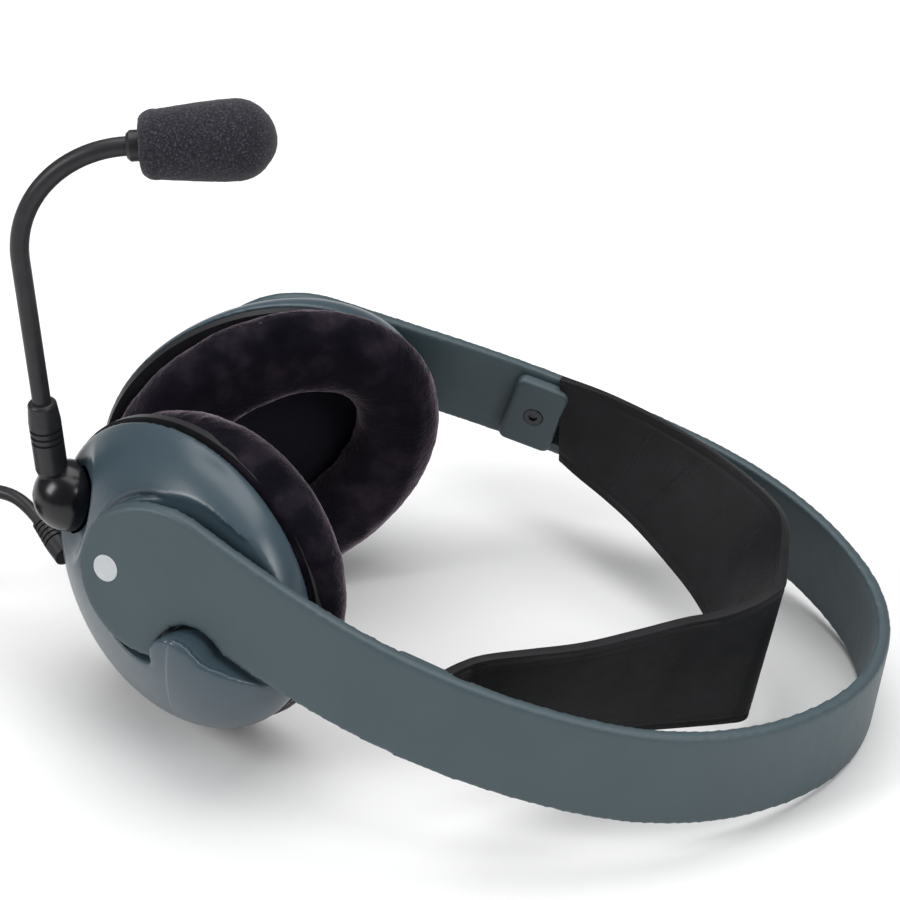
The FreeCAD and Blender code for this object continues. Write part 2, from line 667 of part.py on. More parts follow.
# Baffle, ring and screws
baffle = oval(SHELL_R, BAFFLE_INSET, BAFFLE_FACE, -RIM_DEPTH)
baffle = baffle.cut(upright(DRIVER_R + FIT, 0, SHELL_Y, BAFFLE_FACE - 1, -RIM_DEPTH + 1))
vents = [upright(1.4, 22.0 * math.cos(math.radians(45 * k)), SHELL_Y + 20.0 * math.sin(math.radians(45 * k)),
                 BAFFLE_FACE - 1, -RIM_DEPTH + 1) for k in range(8)]
ring = oval(SHELL_R, -RING_OVERHANG, RING_FACE, BAFFLE_FACE)
ring = ring.cut(oval(RING_HOLE_R, 0, RING_FACE - 1, BAFFLE_FACE + 1))
for x, y in SCREW_PLACES:
    baffle = baffle.cut(upright(SCREW_R, x, y, BAFFLE_FACE - 1, -RIM_DEPTH + 1))
    ring = ring.cut(upright(SCREW_HEAD_R + 2 * FIT, x, y, BAFFLE_FACE - SCREW_HEAD - FIT, BAFFLE_FACE + 1))
baffle = baffle.cut(vents)
screws = [upright(SCREW_R, x, y, BAFFLE_FACE, -RIM_DEPTH + SCREW_LENGTH).fuse(
          upright(SCREW_HEAD_R, x, y, BAFFLE_FACE - SCREW_HEAD, BAFFLE_FACE)) for x, y in SCREW_PLACES]

# Driver behind the baffle
flange_top = -RIM_DEPTH + DRIVER_FLANGE
basket_top = flange_top + DRIVER_BASKET
bowl = DRIVER_BASKET_R - DRIVER_WALL
at_driver = V(0, SHELL_Y, 0)
frame = turned([(bowl, BAFFLE_FACE), (DRIVER_R, BAFFLE_FACE), (DRIVER_R, -RIM_DEPTH),
                (DRIVER_FLANGE_R, -RIM_DEPTH), (DRIVER_FLANGE_R, flange_top), (DRIVER_BASKET_R, flange_top),
                (DRIVER_BASKET_R, basket_top), (0, basket_top), (0, basket_top - DRIVER_WALL),
                (bowl, basket_top - DRIVER_WALL)], at_driver)
magnet = upright(MAGNET_R, 0, SHELL_Y, basket_top, basket_top + MAGNET_THICK)
foot = BAFFLE_FACE + FOAM_THICK + 0.4 + DOME_RISE
low = foot - DOME_RISE
diaphragm = turned([(0, low), (DOME_R, low), (bowl, foot), (bowl, foot + DOME_THICK),
                    (DOME_R, low + DOME_THICK), (0, low + DOME_THICK)], at_driver)
foam = upright(bowl, 0, SHELL_Y, BAFFLE_FACE, BAFFLE_FACE + FOAM_THICK)
cloth = oval(RING_HOLE_R, FIT, BAFFLE_FACE - CLOTH_THICK, BAFFLE_FACE)

# Ear pad: crowned velour cushion with a leatherette skirt behind its seam
edge = PAD_LONG - 0.3
bulge = ((SKIRT_FOOT + edge) / 2 + 0.9, -PAD_SEAM * 0.45)
foot_in, edge_in = SKIRT_FOOT - SKIRT_THICK, edge - SKIRT_THICK
bulge_in = (bulge[0] - SKIRT_THICK, bulge[1])
pad_centre = V(0, 0, RING_FACE)
ratio = PAD_SHORT / PAD_LONG
skirt = turned([(foot_in, 0), (SKIRT_FOOT, 0), bulge + (edge, -PAD_SEAM), (edge_in, -PAD_SEAM),
                bulge_in + (foot_in, 0)])
skirt = squeezed(skirt, ratio, PAD_TWIST, pad_centre)
shoulder = PAD_LONG - PAD_CROWN_R * 0.75
crest = (PAD_LONG + PAD_OPENING + PAD_FLARE) / 2
pad = turned([(0, 0), (foot_in, 0), bulge_in + (edge_in, -PAD_SEAM), (edge, -PAD_SEAM),
              (PAD_LONG - 0.6, -PAD_SEAM - 3.4, shoulder, -PAD_HEIGHT + 1.3),
              ((shoulder + crest) / 2, -PAD_HEIGHT + 0.4, crest - 3, -PAD_HEIGHT), (0, -PAD_HEIGHT)])
pad = squeezed(pad, ratio, PAD_TWIST, pad_centre)
flare = PAD_OPENING + PAD_FLARE
mouth = turned([(0, 1), (PAD_OPENING, 1), (PAD_OPENING, -PAD_SEAM),
                (PAD_OPENING + PAD_FLARE * 0.25, -PAD_HEIGHT * 0.8, flare, -PAD_HEIGHT - 0.1),
                (flare, -PAD_HEIGHT - 3), (0, -PAD_HEIGHT - 3)])
mouth = squeezed(mouth, PAD_OPENING_SHORT / PAD_OPENING, PAD_TWIST, pad_centre)
pad = pad.cut(mouth)

CUP_NODES = {"baffle": baffle, "pad_ring": ring, "cup_screws": Part.makeCompound(screws),
             "driver_frame": frame, "driver_magnet": magnet, "driver_diaphragm": diaphragm,
             "damping_foam": foam, "driver_cloth": cloth, "pad_skirt": skirt, "pad": pad,
             "pivot_retainer": retainer, "pivot_bush": bush}
for name, shape in CUP_NODES.items():
    NODES["left_" + name] = in_cup(shape)
    NODES["right_" + name] = mirrored(in_cup(shape))
NODES["right_shell"] = mirrored(in_cup(shell))

# Boom mount on the left shell
BALL = V(BALL_X, BALL_Y, BALL_Z)
AXIS = unit(BALL_AXIS)


def on_axis(reach):
    return BALL + AXIS * reach


inside_face = -BALL_FLAT - HUB_WALL
above_rim = Part.makeBox(2 * WIDE, 2 * WIDE, WIDE, V(-WIDE, -WIDE, -RIM_DEPTH))
mount = cylinder(HUB_R * 0.7, on_axis(inside_face), on_axis(-BALL_FLAT - HUB_GAP)).common(outer)
hub = cylinder(HUB_R, on_axis(-HUB_ROOT), on_axis(-BALL_FLAT - HUB_GAP)).cut(inner).common(above_rim)
shell_left = largest(shell.fuse([mount, hub]))
above = cylinder(BALL_R + 0.4, on_axis(-BALL_FLAT - HUB_GAP), on_axis(BALL_R + 1))
shell_left = shell_left.cut(above)
bore = cylinder(PIN_R + PIN_GAP, on_axis(-12), on_axis(2))
head_room = cylinder(PIN_HEAD_R + 0.5, on_axis(-12), on_axis(inside_face))
shell_left = shell_left.cut(bore).cut(head_room.common(inner))
ball = Part.makeSphere(BALL_R, BALL).common(cylinder(BALL_R + 1, on_axis(-BALL_FLAT), on_axis(BALL_R + 1)))
pin = cylinder(PIN_R, on_axis(inside_face - PIN_GAP), on_axis(PIN_REACH))
ball = ball.cut(pin)
under_head = inside_face - PIN_GAP
pin = pin.fuse(cylinder(PIN_HEAD_R, on_axis(under_head - PIN_HEAD), on_axis(under_head)))
NODES["left_shell"] = in_cup(shell_left)
NODES["boom_pivot_pin"] = in_cup(pin)

# Boom: it rises straight from the ball and arches over to the microphone
BALL_AT = CUP.multVec(BALL)
BOOM_AXIS = CUP_TURN.multVec(AXIS)
heading = math.radians(BOOM_HEADING)
FORWARD = V(math.cos(heading), math.sin(heading), 0)


def boom(u, z):
    """Point of the boom's plane: u forward of the ball, z above it."""
    return BALL_AT + FORWARD * u + UP * z


top_z = NECK_STRAIGHT + NECK_ARCH_R
neck_end = NECK_ARCH_R - BOOM_SET_BACK
ball = in_cup(ball)
grip_points = [(0, GRIP_FOOT), (GRIP_R * 0.86, GRIP_FOOT), (GRIP_R, GRIP_FOOT + 2)]
for level in GROOVES:
    grip_points += [(GRIP_R, level - GROOVE_WIDTH / 2), (GRIP_R - GROOVE_DEPTH, level - GROOVE_WIDTH / 2),
                    (GRIP_R - GROOVE_DEPTH, level + GROOVE_WIDTH / 2), (GRIP_R, level + GROOVE_WIDTH / 2)]
collar_foot = GRIP_TOP - GRIP_COLLAR
grip_points += [(GRIP_R, collar_foot), (GRIP_TOP_R, GRIP_TOP - 1.2),
                (GRIP_TOP_R - 0.3, GRIP_TOP - 0.3, GRIP_TOP_R - 1.1, GRIP_TOP), (0, GRIP_TOP)]
grip = turned(grip_points, boom(-BOOM_SET_BACK, 0))
neck_start = GRIP_TOP - 8
ball = ball.cut(grip)
neck_path = Part.Wire([
    line(boom(-BOOM_SET_BACK, neck_start), boom(-BOOM_SET_BACK, NECK_STRAIGHT)),
    arc(boom(-BOOM_SET_BACK, NECK_STRAIGHT),
        boom(neck_end - NECK_ARCH_R * math.sqrt(0.5), NECK_STRAIGHT + NECK_ARCH_R * math.sqrt(0.5)),
        boom(neck_end, top_z)),
    line(boom(neck_end, top_z), boom(neck_end + COLLAR_LENGTH * 0.75, top_z))])


def tube(path, radius):
    """Round tube along a path of straight runs and arcs."""
    first = path.OrderedEdges[0]
    start = first.valueAt(first.FirstParameter)
    along = first.tangentAt(first.FirstParameter)
    if (path.OrderedEdges[0].Vertexes[0].Point - start).Length > 1e-6:
        start, along = path.OrderedEdges[0].Vertexes[0].Point, along * -1
    profile = Part.Wire([Part.makeCircle(radius, start, along)])
    sweep = Part.BRepOffsetAPI.MakePipeShell(path)
    sweep.add(profile)
    sweep.build()
    sweep.makeSolid()
    return sweep.shape()


neck = tube(neck_path, NECK_R)
grip = grip.cut(neck)
lead = boom(neck_end, top_z)
collar = turned([(0, 0), (COLLAR_R - 0.7, 0), (COLLAR_R, 0.8), (COLLAR_R, COLLAR_LENGTH), (0, COLLAR_LENGTH)],
                lead, FORWARD).cut(neck)
mic_start = COLLAR_LENGTH
mic_end = mic_start + MIC_LENGTH
mic_bore = MIC_R - MIC_WALL
seat = mic_end - CAPSULE_LENGTH
housing = turned([(0, mic_start), (MIC_R, mic_start), (MIC_R, mic_end), (mic_bore, mic_end), (mic_bore, seat),
                  (0, seat)], lead, FORWARD)
capsule = turned([(0, seat), (mic_bore, seat), (mic_bore, mic_end - 0.3), (0, mic_end - 0.3)], lead, FORWARD)
foam_from = mic_start + FOAM_START
foam_to = foam_from + FOAM_LENGTH
nose = FOAM_R * 1.1
cap_r, cap_rise = FOAM_R * 0.62, FOAM_R * 0.24
cap_ball = (cap_r ** 2 + cap_rise ** 2) / (2 * cap_rise)
half_cap = math.asin(cap_r / cap_ball) / 2
bore_end = mic_start + MIC_LENGTH + 0.4
windscreen = turned([(MIC_R, foam_from), (FOAM_BASE_R, foam_from),
                     (FOAM_R - 0.35, foam_from + 1.1, FOAM_R, foam_from + 4),
                     (FOAM_R, foam_to - nose),
                     (FOAM_R * 0.9, foam_to - nose * 0.52, cap_r, foam_to - cap_rise),
                     (cap_ball * math.sin(half_cap), foam_to - cap_ball * (1 - math.cos(half_cap)),
                      0, foam_to),
                     (0, bore_end), (MIC_R, bore_end)], lead, FORWARD)
NODES["boom_ball"] = ball
NODES["boom_grip"] = grip
NODES["gooseneck"] = neck
NODES["mic_collar"] = collar
NODES["mic_housing"] = housing
NODES["mic_capsule"] = capsule
NODES["windscreen"] = windscreen

# Strain relief in the left shell, ribbed and tapered
RELIEF_OUT = unit(CUP_TURN.multVec(RELIEF_AXIS))
RELIEF = CUP.multVec(RELIEF_AT)
pitch = RELIEF_LENGTH * 0.62 / RELIEF_RINGS
relief_points = [(0, 0), (RELIEF_ROOT_R, 0), (RELIEF_ROOT_R, RELIEF_LENGTH * 0.38)]
for k in range(RELIEF_RINGS):
    start = RELIEF_LENGTH * 0.38 + k * pitch
    wide = RELIEF_ROOT_R + (RELIEF_TIP_R - RELIEF_ROOT_R) * (k + 0.5) / RELIEF_RINGS
    relief_points += [(wide - RELIEF_GROOVE, start), (wide - RELIEF_GROOVE, start + pitch * 0.35),
                      (wide, start + pitch * 0.35), (wide, start + pitch)]
relief_points.append((0, RELIEF_LENGTH))
relief = turned(relief_points, RELIEF, RELIEF_OUT)
relief_hole = cylinder(RELIEF_ROOT_R, RELIEF, RELIEF + RELIEF_OUT * 20)
NODES["left_shell"] = NODES["left_shell"].cut(relief_hole)

NODES["strain_relief"] = relief

# Cord lead: from the strain relief it falls to the table and runs on into the coil
box = FreeCAD.BoundBox()
for shape in NODES.values():
    box.add(shape.optimalBoundingBox(False, False))
TABLE = box.ZMin
coil_pitch = 2 * CORD_R + COIL_GAP
coil_out = COIL_MEAN_R + coil_pitch
COIL = V(COIL_X, COIL_Y, TABLE + CORD_R)
tip = RELIEF + RELIEF_OUT * RELIEF_LENGTH


def route(points, name):
    """Cord path: straight runs joined by arcs as large as the two runs allow."""
    edges, last, radii = [], points[0], []
    for before, corner, after in zip(points, points[1:], points[2:]):
        run_in, run_out = corner - before, after - corner
        half = run_in.getAngle(run_out) / 2
        setback = 0.45 * min(run_in.Length, run_out.Length)
        radius = setback / math.tan(half)
        a, b = corner - unit(run_in) * setback, corner + unit(run_out) * setback
        middle = corner + unit(unit(run_out) - unit(run_in)) * radius * (1 / math.cos(half) - 1)
        edges += [line(last, a), arc(a, middle, b)]
        radii.append(round(radius, 1))
        last = b
    edges.append(line(last, points[-1]))
    path = Part.Wire(edges)
    print(name, "radii", radii, "length", round(path.Length, 1))
    return path


start = COIL + V(0, coil_out, 0)
lead_points = [tip, tip + RELIEF_OUT * LEAD_START] + [V(x, y, TABLE + z) for x, y, z in LEAD]
lead_path = route(lead_points + [start + V(LEAD_RUN, 0, 0), start], "cord_lead")
cord_lead = tube(lead_path, CORD_R)

# Coil: half turns that spiral in and out; the last of each layer climbs to the next
edges, point, side, radius = [], start, -1, coil_out
per_layer = 2 * COIL_TURNS
for k in range(per_layer * COIL_LAYERS):
    climbs = k % per_layer == per_layer - 1 and k < per_layer * COIL_LAYERS - 1
    end = point + V(0, 2 * radius * side, coil_pitch if climbs else 0)
    edges.append(arc(point, (point + end) / 2 + V(radius * side, 0, 0), end))
    point, side = end, -side
    inward = (k + 1) // per_layer % 2 == 0
    radius += -coil_pitch / 2 if inward else coil_pitch / 2
coil_path = Part.Wire(edges)
cord_coil = tube(coil_path, CORD_R)
samples = coil_path.discretize(Number=1500)
skip = int(6 * CORD_R / (coil_path.Length / 1499)) + 1
least = min((samples[i] - samples[j]).Length for i in range(0, 1500, 2) for j in range(i + skip, 1500))
print("coil length", round(coil_path.Length, 1), "least gap", round(least - 2 * CORD_R, 2))

# Tail: it comes down beside the coil to the plug
AHEAD = V(0, -1, 0)
plug_at = V(COIL_X + PLUG_X, COIL_Y + PLUG_Y, TABLE + PLUG_HANDLE_R)
tail_points = [V(COIL_X + x, COIL_Y + y, point.z - fall) for x, y, fall in TAIL]
tail_path = route([point, point - V(TAIL_START, 0, 0)] + tail_points + [plug_at - AHEAD * TAIL_RUN, plug_at],
                  "cord_tail")
cord_tail = tube(tail_path, CORD_R)

# Plug with four contacts
handle_from = PLUG_BOOT
handle_to = handle_from + PLUG_HANDLE
boot = turned([(0, 0), (CORD_R + 0.6, 0), (PLUG_HANDLE_R * 0.72, PLUG_BOOT), (0, PLUG_BOOT)], plug_at, AHEAD)
handle = turned([(0, handle_from), (PLUG_HANDLE_R - 1.2, handle_from), (PLUG_HANDLE_R, handle_from + 1.5),
                 (PLUG_HANDLE_R, handle_to - 5), (PLUG_HANDLE_R - 0.8, handle_to - 4.2),
                 (PLUG_HANDLE_R - 0.8, handle_to), (0, handle_to)], plug_at, AHEAD)
sleeve_end = handle_to + PLUG_SLEEVE
sleeve = cylinder(PLUG_R, plug_at + AHEAD * handle_to, plug_at + AHEAD * sleeve_end)
breaks, rings, place = [], [], sleeve_end
for k in range(3):
    breaks.append(cylinder(PLUG_R, plug_at + AHEAD * place, plug_at + AHEAD * (place + PLUG_BREAK)))
    place += PLUG_BREAK
    if k < 2:
        rings.append(cylinder(PLUG_R, plug_at + AHEAD * place, plug_at + AHEAD * (place + PLUG_RING)))
        place += PLUG_RING
point_end = place + PLUG_TIP
plug_tip = turned([(0, place), (PLUG_R, place), (PLUG_R, place + PLUG_SHOULDER), (PLUG_R * 0.66, place + 2.8),
                   (PLUG_R * 0.86, place + 4.4), (PLUG_R * 0.3, point_end), (0, point_end)], plug_at, AHEAD)
NODES["cord_lead"] = cord_lead
NODES["cord_coil"] = cord_coil
NODES["cord_tail"] = cord_tail
NODES["plug_boot"] = boot
NODES["plug_handle"] = handle
NODES["plug_sleeve"] = sleeve
NODES["plug_breaks"] = Part.makeCompound(breaks)
NODES["plug_rings"] = Part.makeCompound(rings)
NODES["plug_tip"] = plug_tip

round_area = math.pi * CORD_R ** 2
for name, path in (("cord_lead", lead_path), ("cord_coil", coil_path), ("cord_tail", tail_path)):
    expected = round(round_area * path.Length, 1)
    print(name, "volume", round(NODES[name].Volume, 1), "section x length", expected)

# The headset rests on the table at z = 0, its box without the cord centred over the origin
SHIFT = V(-box.Center.x, -box.Center.y, -TABLE)
for name in NODES:
    NODES[name].translate(SHIFT)
print("shift", SHIFT)
print("lead points", [tuple(round(c, 2) for c in p + SHIFT) for p in lead_points])
print("coil centre", COIL + SHIFT, "plug", plug_at + SHIFT, "level after coil", round(point.z + SHIFT.z, 2))
print("pivot right", PIVOT + SHIFT, "pivot left", PIVOT_LEFT + SHIFT)
print("cup axes", CUP_TURN.multVec(V(1, 0, 0)), CUP_TURN.multVec(V(0, 1, 0)), CUP_OUT)
print("cup origin", CUP.Base + SHIFT, "ball", BALL_AT + SHIFT, "boom axis", BOOM_AXIS)
print("plug sleeve from", plug_at + AHEAD * handle_to + SHIFT, "to", plug_at + AHEAD * (place + PLUG_SHOULDER) + SHIFT)
for name, shape in NODES.items():
    real = shape.optimalBoundingBox(False, False)
    print(name, shape.isValid(), len(shape.Solids), round(shape.Volume, 1),
          [round(v, 1) for v in (real.XMin, real.XMax, real.YMin, real.YMax, real.ZMin, real.ZMax)])
    shape.exportStep("parts/" + name + ".step")
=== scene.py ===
import math
import bpy
from mathutils import Matrix, Vector, noise


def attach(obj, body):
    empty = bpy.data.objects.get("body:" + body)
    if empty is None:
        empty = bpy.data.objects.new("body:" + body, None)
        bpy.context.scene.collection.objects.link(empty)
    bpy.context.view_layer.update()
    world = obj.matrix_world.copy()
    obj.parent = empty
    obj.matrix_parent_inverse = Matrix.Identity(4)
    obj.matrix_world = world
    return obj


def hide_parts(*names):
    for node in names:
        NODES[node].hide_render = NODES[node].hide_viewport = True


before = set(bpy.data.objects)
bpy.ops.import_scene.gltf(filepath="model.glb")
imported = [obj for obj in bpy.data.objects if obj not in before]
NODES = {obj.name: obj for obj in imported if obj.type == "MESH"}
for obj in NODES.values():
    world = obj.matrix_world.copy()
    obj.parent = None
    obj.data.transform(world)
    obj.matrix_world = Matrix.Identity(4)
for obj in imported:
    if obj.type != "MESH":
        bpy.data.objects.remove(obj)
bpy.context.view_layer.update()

MM = 0.001
scene = bpy.context.scene
scene.view_settings.view_transform = "Standard"


# Camera, at the photograph's angle
def photo_camera():
    right = Vector((0.9660, 0.2547, -0.0443))
    up = Vector((-0.1031, 0.5364, 0.8377))
    back = right.cross(up)
    eye = Vector((0.1518, -0.5177, 0.4173))
    bpy.ops.object.camera_add()
    camera = bpy.context.object
    camera.matrix_world = Matrix(((right.x, up.x, back.x, eye.x), (right.y, up.y, back.y, eye.y),
                                  (right.z, up.z, back.z, eye.z), (0, 0, 0, 1)))
    camera.data.sensor_width = 36
    camera.data.lens = 106.63
    camera.data.clip_start = 0.01
    camera.data.clip_end = 30
    scene.camera = camera


photo_camera()

# Working with one piece at a time


def pick(obj):
    bpy.ops.object.select_all(action="DESELECT")
    obj.select_set(True)
    bpy.context.view_layer.objects.active = obj


def modify(obj, kind, **settings):
    """Adds a modifier, sets it and applies it."""
    pick(obj)
    modifier = obj.modifiers.new(kind.title(), kind)
    for key, value in settings.items():
        setattr(modifier, key, value)
    bpy.ops.object.modifier_apply(modifier=modifier.name)


def settle(obj):
    """Puts the piece's place into its mesh."""
    pick(obj)
    bpy.ops.object.transform_apply(location=True, rotation=True, scale=True)


def smooth(obj, angle=40):
    pick(obj)
    bpy.ops.object.shade_smooth_by_angle(angle=math.radians(angle))


def finish(obj, material, body, node=()):
    obj.data.materials.clear()
    obj.data.materials.append(material)
    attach(obj, body)
    if node:
        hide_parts(*([node] if isinstance(node, str) else node))


def from_part(node, name):
    """A welded copy of a part's mesh, to be worked on."""
    source = NODES[node]
    obj = bpy.data.objects.new(name, source.data.copy())
    scene.collection.objects.link(obj)
    pick(obj)
    bpy.ops.object.mode_set(mode="EDIT")
    bpy.ops.mesh.select_all(action="SELECT")
    bpy.ops.mesh.remove_doubles(threshold=0.00001)
    bpy.ops.object.mode_set(mode="OBJECT")
    return obj


def even_skin(obj, size, rounds):
    """Lays an even skin of small faces over a piece and eases its edges."""
    modify(obj, "REMESH", mode="VOXEL", voxel_size=size * MM, adaptivity=0)
    modify(obj, "SMOOTH", factor=0.5, iterations=rounds)
    smooth(obj, 60)


def move_points(obj, shift):
    """Moves each vertex by what shift(place, normal) gives."""
    mesh = obj.data
    moves = [shift(v.co, v.normal) for v in mesh.vertices]
    for vertex, move in zip(mesh.vertices, moves):
        if move is not None:
            vertex.co += move
    mesh.update()


def groove(distance, width):
    return math.exp(-(distance / width) ** 2)


def ease(value, low, high):
    """0 below low, 1 above high, with a soft change between."""
    t = min(max((value - low) / (high - low), 0.0), 1.0)
    return t * t * (3 - 2 * t)


def middle(node):
    corners = [Vector(c) for c in NODES[node].bound_box]
    return sum(corners, Vector()) / 8


def mirrored(shift):
    """The same shift for the right ear, left and right changed over."""
    def turned(place, normal):
        move = shift(Vector((place.x, -place.y, place.z)), Vector((normal.x, -normal.y, normal.z)))
        return move and Vector((move.x, -move.y, move.z))
    return turned


def mirror_copy(obj, name):
    """The same piece on the right ear."""
    twin = obj.copy()
    twin.data = obj.data.copy()
    twin.name = name
    scene.collection.objects.link(twin)
    for vertex in twin.data.vertices:
        vertex.co.y = -vertex.co.y
    pick(twin)
    bpy.ops.object.mode_set(mode="EDIT")
    bpy.ops.mesh.select_all(action="SELECT")
    bpy.ops.mesh.flip_normals()
    bpy.ops.object.mode_set(mode="OBJECT")
    return twin


# Finishes


class Finish:
    """A material with its own nodes, built up in steps."""

    def __init__(self, name, colour, roughness, **sockets):
        self.material = bpy.data.materials.new(name)
        self.material.use_nodes = True
        self.tree = self.material.node_tree
        self.surface = self.tree.nodes["Principled BSDF"]
        self.surface.inputs["Base Color"].default_value = (*colour, 1)
        self.surface.inputs["Roughness"].default_value = roughness
        for key, value in sockets.items():
            self.surface.inputs[key.replace("_", " ")].default_value = value
        self.place = self.tree.nodes.new("ShaderNodeTexCoord").outputs["Object"]
        self.height = None

    def node(self, kind):
        return self.tree.nodes.new(kind)

    def join(self, a, b):
        self.tree.links.new(a, b)

    def noise(self, grain, detail=3.0):
        """Noise whose blotches are about 'grain' millimetres wide."""
        made = self.node("ShaderNodeTexNoise")
        made.inputs["Scale"].default_value = 1000.0 / grain
        made.inputs["Detail"].default_value = detail
        self.join(self.place, made.inputs["Vector"])
        return made.outputs["Fac"]

    def cells(self, grain):
        """Rounded cells about 'grain' millimetres wide."""
        made = self.node("ShaderNodeTexVoronoi")
        made.inputs["Scale"].default_value = 1000.0 / grain
        self.join(self.place, made.inputs["Vector"])
        return made.outputs["Distance"]

    def ramp(self, value, stops):
        made = self.node("ShaderNodeValToRGB")
        elements = made.color_ramp.elements
        while len(elements) < len(stops):
            elements.new(0.5)
        for element, (position, colour) in zip(elements, stops):
            element.position = position
            element.color = (*colour, 1)
        self.join(value, made.inputs["Fac"])
        return made.outputs["Color"]

    def colour(self, value, stops):
        self.join(self.ramp(value, stops), self.surface.inputs["Base Color"])

    def rough(self, value, low, high):
        made = self.node("ShaderNodeMapRange")
        made.inputs["To Min"].default_value = low
        made.inputs["To Max"].default_value = high
        self.join(value, made.inputs["Value"])
        self.join(made.outputs["Result"], self.surface.inputs["Roughness"])

    def bump(self, value, depth, strength=1.0):
        """Adds relief of this depth in millimetres on top of what is there."""
        made = self.node("ShaderNodeBump")
        made.inputs["Distance"].default_value = depth * MM
        made.inputs["Strength"].default_value = strength
        self.join(value, made.inputs["Height"])
        if self.height is not None:
            self.join(self.height, made.inputs["Normal"])
        self.height = made.outputs["Normal"]
        self.join(self.height, self.surface.inputs["Normal"])


def moulded_slate():
    f = Finish("moulded slate plastic", (0.043, 0.069, 0.080), 0.5)
    f.colour(f.noise(14, 4), [(0.3, (0.041, 0.066, 0.077)), (0.7, (0.045, 0.072, 0.084))])
    f.rough(f.noise(3, 5), 0.44, 0.56)
    f.bump(f.noise(0.5, 4), 0.03, 0.5)
    return f.material


def satin_slate():
    f = Finish("satin slate plastic", (0.041, 0.066, 0.084), 0.32)
    f.colour(f.noise(20, 3), [(0.3, (0.039, 0.063, 0.080)), (0.7, (0.043, 0.069, 0.088))])
    f.rough(f.noise(2, 5), 0.27, 0.35)
    f.bump(f.noise(0.6, 4), 0.02, 0.35)
    return f.material


def black_plastic():
    f = Finish("black moulded plastic", (0.010, 0.010, 0.012), 0.4, Specular_IOR_Level=0.38)
    f.colour(f.noise(6, 4), [(0.3, (0.010, 0.010, 0.012)), (0.7, (0.016, 0.016, 0.019))])
    f.rough(f.noise(1.5, 4), 0.34, 0.48)
    f.bump(f.noise(0.4, 4), 0.03, 0.5)
    return f.material


def gloss_black():
    f = Finish("glossy black plastic", (0.006, 0.006, 0.008), 0.24, Specular_IOR_Level=0.4)
    f.rough(f.noise(2, 4), 0.2, 0.28)
    f.colour(f.noise(5, 3), [(0.3, (0.003, 0.003, 0.005)), (0.7, (0.005, 0.005, 0.007))])
    return f.material


def satin_rubber(name="satin black rubber", low=0.36, high=0.5):
    f = Finish(name, (0.010, 0.010, 0.012), 0.45, Specular_IOR_Level=0.38)
    f.colour(f.noise(4, 4), [(0.3, (0.010, 0.010, 0.012)), (0.7, (0.017, 0.017, 0.020))])
    f.rough(f.noise(1.2, 4), low, high)
    f.bump(f.noise(0.35, 3), 0.025, 0.5)
    return f.material


def velour():
    f = Finish("plum black velour", (0.006, 0.005, 0.008), 1.0, Sheen_Weight=0.85, Sheen_Roughness=0.33,
               Sheen_Tint=(0.60, 0.49, 0.57, 1), Specular_IOR_Level=0.05)
    patches = f.noise(9, 7)
    f.colour(patches, [(0.32, (0.003, 0.0028, 0.0055)), (0.52, (0.007, 0.006, 0.010)),
                       (0.74, (0.024, 0.018, 0.026))])
    f.bump(f.noise(4, 6), 0.4, 0.4)
    f.bump(f.noise(0.45, 2), 0.22, 0.9)
    return f.material


def wrinkled_leatherette():
    f = Finish("glossy black leatherette", (0.006, 0.006, 0.007), 0.36, Specular_IOR_Level=0.4)
    f.colour(f.noise(3, 4), [(0.3, (0.004, 0.004, 0.005)), (0.7, (0.009, 0.009, 0.010))])
    f.bump(f.noise(2.0, 4), 0.25, 0.5)
    f.bump(f.cells(0.5), 0.05, 0.5)
    return f.material


def strap_leather():
    f = Finish("matte black strap leather", (0.006, 0.006, 0.007), 0.55, Specular_IOR_Level=0.28)
    f.colour(f.noise(10, 5), [(0.3, (0.0045, 0.0045, 0.0055)), (0.7, (0.0085, 0.0085, 0.0105))])
    f.rough(f.noise(4, 4), 0.5, 0.64)
    f.bump(f.noise(5, 4), 0.2, 0.25)
    f.bump(f.cells(0.7), 0.08, 0.6)
    return f.material


def woven(name, dark, light, pitch, depth):
    f = Finish(name, dark, 0.9, Sheen_Weight=0.12, Sheen_Roughness=0.5, Specular_IOR_Level=0.15)
    cloth = f.noise(pitch, 2)
    f.colour(cloth, [(0.35, dark), (0.7, light)])
    f.bump(f.cells(pitch), depth, 0.7)
    return f.material


def acoustic_foam():
    f = Finish("dark grey foam", (0.02, 0.02, 0.026), 0.95, Sheen_Weight=0.15, Sheen_Roughness=0.5,
               Specular_IOR_Level=0.2)
    f.colour(f.noise(0.5, 2), [(0.32, (0.008, 0.008, 0.011)), (0.55, (0.022, 0.021, 0.029)),
                              (0.74, (0.065, 0.063, 0.078))])
    f.bump(f.noise(0.45, 2), 0.22, 0.8)
    return f.material


def bare_metal(name, colour, roughness):
    f = Finish(name, colour, roughness, Metallic=1.0)
    f.rough(f.noise(1.5, 4), roughness * 0.8, roughness * 1.25)
    f.bump(f.noise(0.3, 2), 0.01, 0.4)
    return f.material


def printed_white():
    f = Finish("white print", (0.50, 0.52, 0.54), 0.5)
    f.colour(f.noise(2, 3), [(0.3, (0.47, 0.50, 0.52)), (0.7, (0.53, 0.55, 0.57))])
    return f.material


def pale_floor():
    f = Finish("pale floor", (0.9, 0.9, 0.9), 0.7)
    f.colour(f.noise(200, 2), [(0.3, (0.89, 0.89, 0.89)), (0.7, (0.91, 0.91, 0.91))])
    return f.material


